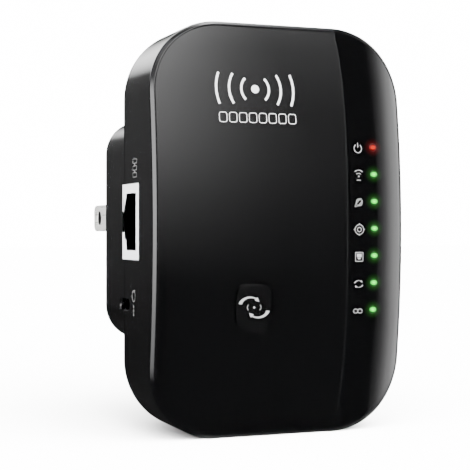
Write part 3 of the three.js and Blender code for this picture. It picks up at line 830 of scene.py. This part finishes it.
def screw(node_name, head, shank):
    """A pan-head screw with a tapered cross recess."""
    low, high = span(node_name)
    x, z = middle(node_name)
    top, under, crest = high.y, high.y - 1.1, 0.55
    loop = circle(head, x, z, 40)
    stations = [(head - 0.1, low.y), (head - shank, low.y + 1), (head - shank, under), (0, under)]
    stations.append((0, top - crest))
    for angle in (0.4, 0.8, 1.2, 1.57):
        stations.append((head * (1 - math.cos(angle)) * 0.75, top - crest * (1 - math.sin(angle))))
    made = stack(f"{node_name}_skin", loop, stations, "y", (1, 4))
    arm, half = head * 0.58, 0.27
    cross = []
    for width, height in ((2 * arm, 2 * half), (2 * half, 2 * arm)):
        bar = rounded_rect(width, height, 0.1, x, z, corner_steps=3)
        cross.append(stack("cross", bar, [(0.2, top - 0.75), (0, top - 0.1), (-0.05, top + 0.2)], "y"))
    return combine(made, cross, "DIFFERENCE", 35)


def light_pipe(index, z):
    """A clear pipe with a foot and a domed tip."""
    dome = 0.27
    dome_back = front_y(LED_X, z) + 0.25
    stations = [(-0.65, -14.9), (-0.65, -15.6), (0, -15.65), (0, dome_back)]
    for angle in np.linspace(0.2, 1.45, 7):
        stations.append((LED_RADIUS * (1 - math.cos(angle)), dome_back - dome * math.sin(angle)))
    loop = circle(LED_RADIUS, LED_X, z, 32)
    return stack(f"light_pipe_{index}_tip", loop, stations, "y", (1, 2), None, 50)


# ---------- network socket ----------
PORT_LOW, PORT_HIGH = (-9.54, -4.4), (-2.5, 7.9)


def port_loop(latch_end):
    """Outline of the socket's mouth, with two steps up to the latch's notch."""
    y0, z0 = PORT_LOW
    y1, z1 = PORT_HIGH
    mid = (z0 + z1) / 2
    step = y1 + 1.45
    points = [
        (y0, z0), (y1, z0), (y1, mid - 3.7), (step, mid - 3.7), (step, mid - 2.3), (latch_end, mid - 2.3),
        (latch_end, mid + 2.3), (step, mid + 2.3), (step, mid + 3.7), (y1, mid + 3.7), (y1, z1), (y0, z1),
    ]
    return soften(np.array(points), 0.15, 3)


def jack_frame():
    """A folded sheet box around the socket, with the mouth cut in its face."""
    low, high = JACK_LOW, JACK_HIGH
    face = low.x - 0.06
    shell = block("jack_frame", (face, low.y, low.z), (high.x, high.y, high.z), 0.18, "x")
    skin = 0.5
    hollow_low = (face + skin, low.y + skin, low.z + skin)
    hollow_high = (high.x + 5, high.y - skin, high.z - skin)
    hollow = block("hollow", hollow_low, hollow_high, 0.1, "x")
    soft = 0.12
    stations = [(-soft, face - 1), (-soft, face), (0, face + soft), (0, face + skin + 2)]
    mouth = stack("mouth", port_loop(high.y + 2), stations, "x")
    return even_normals(combine(shell, [hollow, mouth], "DIFFERENCE", 40))


def jack_insert():
    """The insulator, with a mouth for the plug and a groove for each contact."""
    low, high = span("jack_housing")
    body = block("jack_insert", tuple(low), tuple(high), 0.1, "x")
    cutters = [stack("mouth", port_loop(high.y - 0.6), [(0, low.x - 1), (0, low.x + 11.6)], "x")]
    for i in range(1, 9):
        z = middle(f"jack_contact_{i}")[1]
        groove_low = (low.x + 1.5, PORT_LOW[0] - 0.5, z - 0.3)
        groove_high = (low.x + 10.5, PORT_LOW[0] + 0.2, z + 0.3)
        cutters.append(block("groove", groove_low, groove_high))
    return combine(body, cutters, "DIFFERENCE", 40)


def contact(index):
    """A sprung strip that runs along the socket's floor and bends up towards the plug."""
    low, high = span(f"jack_contact_{index}")
    z = middle(f"jack_contact_{index}")[1]
    along = np.linspace(0, 1, 15)
    x = low.x + (high.x - low.x) * along
    rise = (high.y - low.y - 0.3) * np.clip((along - 0.6) / 0.4, 0, 1) ** 1.6
    y = low.y + 0.02 + rise
    lower = np.column_stack([x, y])
    upper = np.column_stack([x, y + 0.26])[::-1]
    outline = np.vstack([lower, upper])
    stations = [(0.04, z - 0.22), (0, z - 0.18), (0, z + 0.18), (0.04, z + 0.22)]
    return stack(f"jack_contact_{index}_strip", outline, stations, "z")


# ---------- print ----------
def band(cx, cy, inner, outer, start, end, squash=(1.0, 1.0), turn=0.0):
    """An arc with thickness, as two rows of points. Angles are in degrees, anticlockwise from the right."""
    steps = max(3, int(abs(end - start) / 8))
    angle = np.radians(np.linspace(start, end, steps + 1))
    circle_points = np.column_stack([np.cos(angle) * squash[0], np.sin(angle) * squash[1]])
    c, s = math.cos(math.radians(turn)), math.sin(math.radians(turn))
    rotated = circle_points @ np.array([[c, s], [-s, c]])
    normal = rotated / np.linalg.norm(rotated, axis=1)[:, None]
    middle_radius, half = (inner + outer) / 2, (outer - inner) / 2
    line = rotated * middle_radius + np.array([cx, cy])
    return line - normal * half, line + normal * half


def bar(x0, y0, x1, y1, thick):
    """A straight line with thickness, as two rows of points."""
    ends = np.linspace([x0, y0], [x1, y1], 4)
    along = np.array([x1 - x0, y1 - y0]) / math.hypot(x1 - x0, y1 - y0)
    across = np.array([-along[1], along[0]]) * thick / 2
    return ends - across, ends + across


def dot(cx, cy, radius):
    """A filled circle, as a band from one side to the other."""
    angle = np.linspace(0, math.pi, 13)
    row = np.column_stack([np.cos(angle) * radius + cx, np.sin(angle) * radius])
    return np.column_stack([row[:, 0], cy - row[:, 1]]), np.column_stack([row[:, 0], cy + row[:, 1]])


def arrow(cx, cy, radius, start, end, tail, head, squash=(1.0, 1.0)):
    """A curved arrow whose body narrows from its tail to its head, running clockwise."""
    angle = np.radians(np.linspace(start, end, 13))
    half = np.linspace(tail, tail * 0.35, 13)
    shape = np.column_stack([np.cos(angle) * squash[0], np.sin(angle) * squash[1]])
    offset = np.array([cx, cy])
    body = (shape * (radius - half)[:, None] + offset, shape * (radius + half)[:, None] + offset)
    tip_angle = math.radians(end - math.degrees(head / radius) * 2.2)
    tip = np.array([math.cos(tip_angle) * squash[0], math.sin(tip_angle) * squash[1]]) * radius + offset
    low = shape[-1] * (radius - head) + offset
    high = shape[-1] * (radius + head) + offset
    steps = np.linspace(0, 1, 5)[:, None]
    return [body, (low + (tip - low) * steps, high + (tip - high) * steps)]


def printed(name, bands, level, plane, thick=0.02):
    """Thin raised print. The level is the surface that it lies on, and it stands out against the axis."""
    solids = []
    for lower, upper in bands:
        count = len(lower)
        flat = np.vstack([lower, upper])
        base = levels(flat, level)
        top = np.column_stack([flat, base - thick])
        bottom = np.column_stack([flat, base + 0.03])
        points = place(np.vstack([top, bottom]), plane)
        faces = []
        for i in range(count - 1):
            a, b, c, d = i, i + 1, count + i + 1, count + i
            under = 2 * count
            faces += [(a, b, c, d), (a + under, d + under, c + under, b + under)]
            faces += [(a, a + under, b + under, b), (d, c, c + under, d + under)]
        end, under = count - 1, 2 * count
        if not np.allclose(lower[0], lower[-1]):
            faces.append((0, count, count + under, under))
            faces.append((end, end + under, end + count + under, end + count))
        solids.append(mesh_object("print", points, faces))
    return merged(name, solids)


def outlined(loop, thick):
    """A closed loop drawn as a line, just inside the loop."""
    inner = inwards(loop, thick)
    return np.vstack([inner, inner[:1]]), np.vstack([loop, loop[:1]])


def two_arrows(x, z, size, apart, sweep, tail, head, squash):
    """Two curved arrows that chase each other, each moved away from the middle by (x, z)."""
    aside, up = apart
    top = arrow(x - aside, z + up, size, 168, 168 - sweep, tail, head, squash)
    bottom = arrow(x + aside, z - up, size, -12, -12 - sweep, tail, head, squash)
    return top + bottom


def icon_power(x, z):
    thick = STROKE * 1.3
    return [band(x, z - 0.1, 0.85, 0.85 + thick, 125, 415), bar(x, z + 0.1, x, z + 1.2, thick)]


def icon_signal(x, z):
    arcs = [band(x, z - 0.35, r, r + STROKE, 48, 132) for r in (0.7, 1.4)]
    return arcs + [dot(x, z - 0.25, 0.16), bar(x - 0.5, z - 1.1, x + 0.5, z - 1.1, STROKE)]


def ring(x, z, radius, squash=(1.0, 1.0)):
    return band(x, z, radius, radius + STROKE, 0, 360, squash)


def icon_planet(x, z):
    return [ring(x, z, 0.68), band(x, z, 1.3, 1.3 + STROKE, 40, 320, (1, 0.28), 42)]


def icon_target(x, z):
    near, far = 1.15, 1.4
    marks = [ring(x, z, 1.02), ring(x, z, 0.42)]
    for across, up in ((1, 0), (0, 1), (-1, 0), (0, -1)):
        marks.append(bar(x + across * near, z + up * near, x + across * far, z + up * far, STROKE))
    return marks


def icon_port(x, z):
    frame_line = outlined(rounded_rect(2.0, 2.1, 0.25, x, z, 4), STROKE)
    body = bar(x - 0.6, z + 0.3, x + 0.6, z + 0.3, 0.75)
    latch = bar(x - 0.35, z - 0.35, x + 0.35, z - 0.35, 0.35)
    return [frame_line, body, latch]


def icon_arrows(x, z):
    return two_arrows(x, z, 0.85, (0, 0.085), 110, 0.11, 0.26, (1.2, 0.78))


def icon_link(x, z):
    return [ring(x + side * 0.55, z, 0.42, (1.1, 0.95)) for side in (-1, 1)]


def front_mark():
    """Arcs spreading to both sides of a dot, with a row of small outlined squares under them."""
    x, z, half = -6.25, 30.25, 0.26
    bands = [dot(x, z, 0.9)]
    for radius, spread in ((3.2, 46), (6.0, 33), (8.95, 22.5)):
        bands.append(band(x, z, radius - half, radius + half, -spread, spread))
        bands.append(band(x, z, radius - half, radius + half, 180 - spread, 180 + spread))
    pitch, width, height = 2.28, 1.84, 2.2
    for i in range(8):
        centre = x + 0.35 + (i - 3.5) * pitch
        bands.append(outlined(rounded_rect(width, height, 0.5, centre, 24.0, 5), 0.13))
    return bands


def side_network_mark():
    """Three small boxes joined in a row, beside the network socket."""
    y, z, thick = -8.85, 13.4, 0.14
    bands = [outlined(rounded_rect(3.0, 1.05, 0.3, y, z + step, 4), thick) for step in (-1.5, 0, 1.5)]
    return bands + [bar(y, z + step - 0.22, y, z + step + 0.22, 0.5) for step in (-0.75, 0.75)]


def side_reset_mark():
    """A ring that runs round to an arrow head, with three dots, beside the reset hole."""
    y, z = -8.0, -14.4
    dots = [dot(y, z - step, 0.3) for step in (2.3, 3.2, 4.1)]
    return arrow(y, z, 1.2, 60, -235, 0.12, 0.4) + dots


def button_mark(x, z):
    """Two chasing arrows around a dot between two brackets."""
    arrows = two_arrows(x, z, 2.1, (0.95, 0.4), 113, 0.36, 0.5, (1.1, 0.85))
    brackets = [band(x, z, 1.4, 1.5, start - 35, start + 35, (1.1, 0.7)) for start in (0, 180)]
    return arrows + brackets + [dot(x, z, 0.22)]


# ---------- making the pieces ----------
finished(front_shell(), CASING, "casing_black", "front_shell")
finished(face_plate(), GLOSS, "gloss_black", "face_plate")
finished(indicator_window(), STRIP, "smoked_window", "indicator_window")
finished(rear_housing(), CASING, "casing_black", "rear_housing")
finished(pairing_button(), BUTTON, "gloss_black", "pairing_button", body="pairing_button")
finished(button_collar(), COLLAR, "gloss_black", "pairing_button", body="pairing_button")
for blade_name in BLADES:
    finished(blade(blade_name), BLADE, "blade_nickel", blade_name)
for number in range(1, 5):
    name = f"housing_screw_{number}"
    finished(screw(name, 2.05, 1), STEEL, "screw_steel", name)
for number, pipe_z in enumerate(LED_Z, 1):
    look = (RED_PIPE, "light_red") if number == 1 else (GREEN_PIPE, "light_green")
    finished(light_pipe(number, pipe_z), *look, f"light_pipe_{number}")
finished(jack_frame(), TIN, "jack_shield", "jack_shield")
finished(jack_insert(), NYLON, "insulator_black", "jack_housing")
for number in range(1, 9):
    finished(contact(number), GOLD, "contact_gold", f"jack_contact_{number}")

SIDE_WALL = -HALF_W + SKIN
ICONS = (icon_power, icon_signal, icon_planet, icon_target, icon_port, icon_arrows, icon_link)
button_print = printed("button_print", button_mark(*BUTTON_MIDDLE), curved(-BUTTON_PROUD), "y")
finished(button_print, FINE_INK, "print_white", body="pairing_button")
finished(printed("front_print", front_mark(), curved(0), "y"), INK, "print_white")
for number, (icon, light_z) in enumerate(zip(ICONS, LED_Z), 1):
    icon_print = printed(f"icon_{number}", icon(ICON_X, light_z - 0.25), curved(0), "y")
    finished(icon_print, FINE_INK, "print_white")
for print_name, mark in (("network_print", side_network_mark), ("reset_print", side_reset_mark)):
    finished(printed(print_name, mark(), SIDE_WALL, "x"), FINE_INK, "print_white")

INNER = {
    "main_board": MASK, "power_board": MASK, "radio_chip": EPOXY, "flash_chip": EPOXY,
    "network_transformer": EPOXY, "bridge_rectifier": EPOXY, "pairing_switch_body": EPOXY,
    "reset_switch_body": EPOXY, "pairing_switch_plunger": NYLON, "reset_plunger": NYLON,
    "light_pipe_holder": NYLON, "blade_retainer": NYLON, "antenna_left": STEEL, "antenna_right": STEEL,
    "board_screw_1": STEEL, "board_screw_2": STEEL, "transformer_core": FERRITE,
    "transformer_winding": TAPE, "input_capacitor_1": SLEEVE, "input_capacitor_2": SLEEVE,
    "output_capacitor": SLEEVE, "fusible_resistor": LACQUER, "line_lead": BLACK_WIRE,
    "neutral_lead": BLUE_WIRE, "dc_lead": RED_WIRE,
}
INNER.update({f"status_led_{i}": CERAMIC for i in range(1, 8)})
for inner_name, inner_material in INNER.items():
    paint(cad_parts[inner_name], inner_material)

# ---------- floor, light and camera ----------
FLOOR_WHITE = 0.95
AMBIENT = 0.6  # soft light from everywhere, on unpolished surfaces
LAMP = 74.0  # and from a broad lamp, high in front
LAMP_FOCUS = 5.0
LAMP_FROM = Vector((0.0, -0.68, 0.73)).normalized()
BACKDROP = 16.0


def floor():
    size = 3.0
    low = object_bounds()[0][2]
    corners = [(-size, -size, low), (size, -size, low), (size, size, low), (-size, size, low)]
    obj = mesh_object("floor_sheet", corners, [(0, 1, 2, 3)])
    made, tree, bsdf = material("floor_white", (FLOOR_WHITE,) * 3, 0.9)
    shade = noise(tree, 30, 3)
    pale = mixed_color(tree, shade, (FLOOR_WHITE * 0.99,) * 3, (FLOOR_WHITE,) * 3)
    tree.links.new(pale, bsdf.inputs["Base Color"])
    bsdf.inputs["Specular IOR Level"].default_value = 0.0
    paint(obj, made)
    obj.visible_glossy = False
    obj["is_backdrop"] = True


def profile(tree, value, points):
    """A level that runs straight between its (value, level) points and stays flat past the ends."""
    level = points[0][1]
    for (v0, level0), (v1, level1) in zip(points, points[1:]):
        level = total(tree, level, map_range(tree, value, v0, v1, 0.0, level1 - level0))
    return level


# Soft panels around the object, as reflections see them: how each fades across the azimuth, and its
# strength against the elevation. Azimuth 0 is in front, 90 to the object's right and 180 behind it.
PANELS = (
    (  # key, high in front
        ((-40, 0), (-10, 1), (13, 1), (15, 0.93), (17, 0.76), (19, 0.53), (21, 0.3), (23, 0.1), (25.5, 0)),
        ((-8, 0), (-4.6, 0.22), (0.3, 0.72), (5.3, 1.4), (9.4, 2.3), (13.5, 3.4), (18.4, 4.8), (23.4, 6.3),
         (28.3, 8.8), (30.8, 12), (60, 12), (80, 0)),
    ),
    (  # faint wash that ends in a hard edge
        ((-40, 0), (-10, 1), (29, 1), (32.5, 0)),
        ((-10, 0.02), (-4.6, 0.07), (0.3, 0.11), (5.3, 0.19), (9.4, 0.29), (13.5, 0.34), (18.4, 0.43),
         (23.4, 0.7), (28.3, 1.05), (30.8, 1.5), (40, 1.5), (60, 0)),
    ),
    (  # more of it near the top, farther round
        ((12, 0), (17.7, 0.5), (19.3, 0.9), (20.7, 1), (22.1, 0.8), (23.5, 0.62), (24.9, 0.4), (26.1, 0.15),
         (29, 0)),
        ((22, 0), (24, 0.15), (28.3, 0.42), (30.8, 0.95), (33, 1.3), (45, 1.3), (60, 0)),
    ),
    (  # tall panel on the right
        ((42, 0), (45, 0.05), (49, 0.15), (52, 0.29), (56, 0.56), (59, 0.82), (62, 1), (67, 1.8), (85, 1.8),
         (95, 0)),
        ((-60, 0), (-35, 3.6), (-12, 5), (12, 5.2), (35, 5.5), (60, 0)),
    ),
    (  # its soft near edge, at mid height
        ((42, 0), (47, 0.35), (50.5, 0.5), (54, 0.95), (57.5, 1.15), (61, 1.15), (68, 0)),
        ((-12, 0), (-6, 0.85), (0, 1), (12, 0.8), (20, 0)),
    ),
    (  # tall panel on the left
        ((-100, 0), (-85, 1), (-58, 1), (-45, 0)),
        ((-30, 0), (-18, 3.3), (-15.5, 4), (-11.5, 4.6), (-5, 7.8), (0, 9.8), (3, 10.5), (18, 10), (25, 6),
         (32, 1.2), (45, 1.2), (56, 2.2), (70, 2.2), (85, 0)),
    ),
    (  # panel behind
        ((165, 0), (180, 1), (215, 1), (230, 0)),
        ((14.5, 0), (16, 2), (18, 4.2), (24, 5.8), (40, 6), (60, 0)),
    ),
    (  # overhead, towards the back
        ((110, 0.03), (123, 0.08), (126.6, 0.14), (128.5, 0.21), (130.4, 0.35), (132, 1), (215, 1),
         (240, 0)),
        ((56, 0), (60, 11), (70, 11), (85, 0)),
    ),
    (  # faint glow from the table
        ((110, 0.15), (126, 0.2), (129, 0.3), (131, 0.55), (134, 0.8), (150, 0.6), (170, 0)),
        ((-80, 0), (-70, 1), (-50, 1), (-40, 0)),
    ),
    (  # faint glow behind, on the left
        ((170, 0), (185, 1), (235, 1), (260, 0)),
        ((-10, 0.02), (-5, 0.02), (-3.6, 0.036), (-1.8, 0.065), (0, 0.088), (1.8, 0.124), (3.6, 0.134),
         (5.8, 0.16), (12.4, 0.2), (16, 0.25), (40, 0)),
    ),
)
STRAY = 0.02  # what reflections see between the panels


def studio():
    world = bpy.data.worlds.new("studio")
    bpy.context.scene.world = world
    world.use_nodes = True
    world.cycles.sampling_method = "NONE"
    tree = world.node_tree
    tree.nodes.clear()
    direction = node(tree, "ShaderNodeTexCoord").outputs["Generated"]
    split = node(tree, "ShaderNodeSeparateXYZ", {0: direction})
    forward = product(tree, split.outputs["Y"], -1)
    azimuth = math_node(tree, "DEGREES", math_node(tree, "ARCTAN2", split.outputs["X"], forward))
    elevation = math_node(tree, "DEGREES", math_node(tree, "ARCSINE", split.outputs["Z"]))
    reflected = STRAY
    for across, heights in PANELS:
        centre = (across[0][0] + across[-1][0]) / 2
        around = math_node(tree, "WRAP", difference(tree, azimuth, centre), 180, -180)
        shape = profile(tree, around, [(angle - centre, level) for angle, level in across])
        part = product(tree, shape, profile(tree, elevation, heights))
        reflected = total(tree, reflected, part)
    towards = node(tree, "ShaderNodeVectorMath", {0: direction, 1: LAMP_FROM}, operation="DOT_PRODUCT")
    facing = math_node(tree, "MAXIMUM", towards.outputs["Value"], 0.0)
    lamp = product(tree, math_node(tree, "POWER", facing, LAMP_FOCUS), LAMP)
    soft = total(tree, lamp, AMBIENT)
    path = node(tree, "ShaderNodeLightPath").outputs
    seen = product(tree, path["Is Camera Ray"], BACKDROP)
    lit = total(tree, product(tree, path["Is Diffuse Ray"], soft), seen)
    special = math_node(tree, "MAXIMUM", path["Is Diffuse Ray"], path["Is Camera Ray"])
    other = product(tree, difference(tree, 1.0, special), reflected)
    strength = total(tree, lit, other)
    background = node(tree, "ShaderNodeBackground", {"Color": (1, 1, 1, 1), "Strength": strength})
    output = node(tree, "ShaderNodeOutputWorld")
    tree.links.new(background.outputs[0], output.inputs["Surface"])


CAMERA_TURN = math.radians(21)  # round to the unit's left
CAMERA_DISTANCE = 294.16
CAMERA_ASIDE = 2.96
CAMERA_LENS = 97.25
CAMERA_SHIFT = (0.0002, -0.0111)


def camera():
    """Level with the middle of the body."""
    turn = CAMERA_TURN
    right = Vector((math.cos(turn), -math.sin(turn), 0))
    ahead = Vector((math.sin(turn), math.cos(turn), 0))
    data = bpy.data.cameras.new("camera")
    data.sensor_width = 36
    data.lens = CAMERA_LENS
    data.shift_x, data.shift_y = CAMERA_SHIFT
    obj = bpy.data.objects.new("camera", data)
    bpy.context.scene.collection.objects.link(obj)
    obj.location = ORIGIN - (right * CAMERA_ASIDE + ahead * CAMERA_DISTANCE) * MM
    obj.rotation_euler = (math.pi / 2, 0, -turn)
    bpy.context.scene.camera = obj


floor()
studio()
camera()
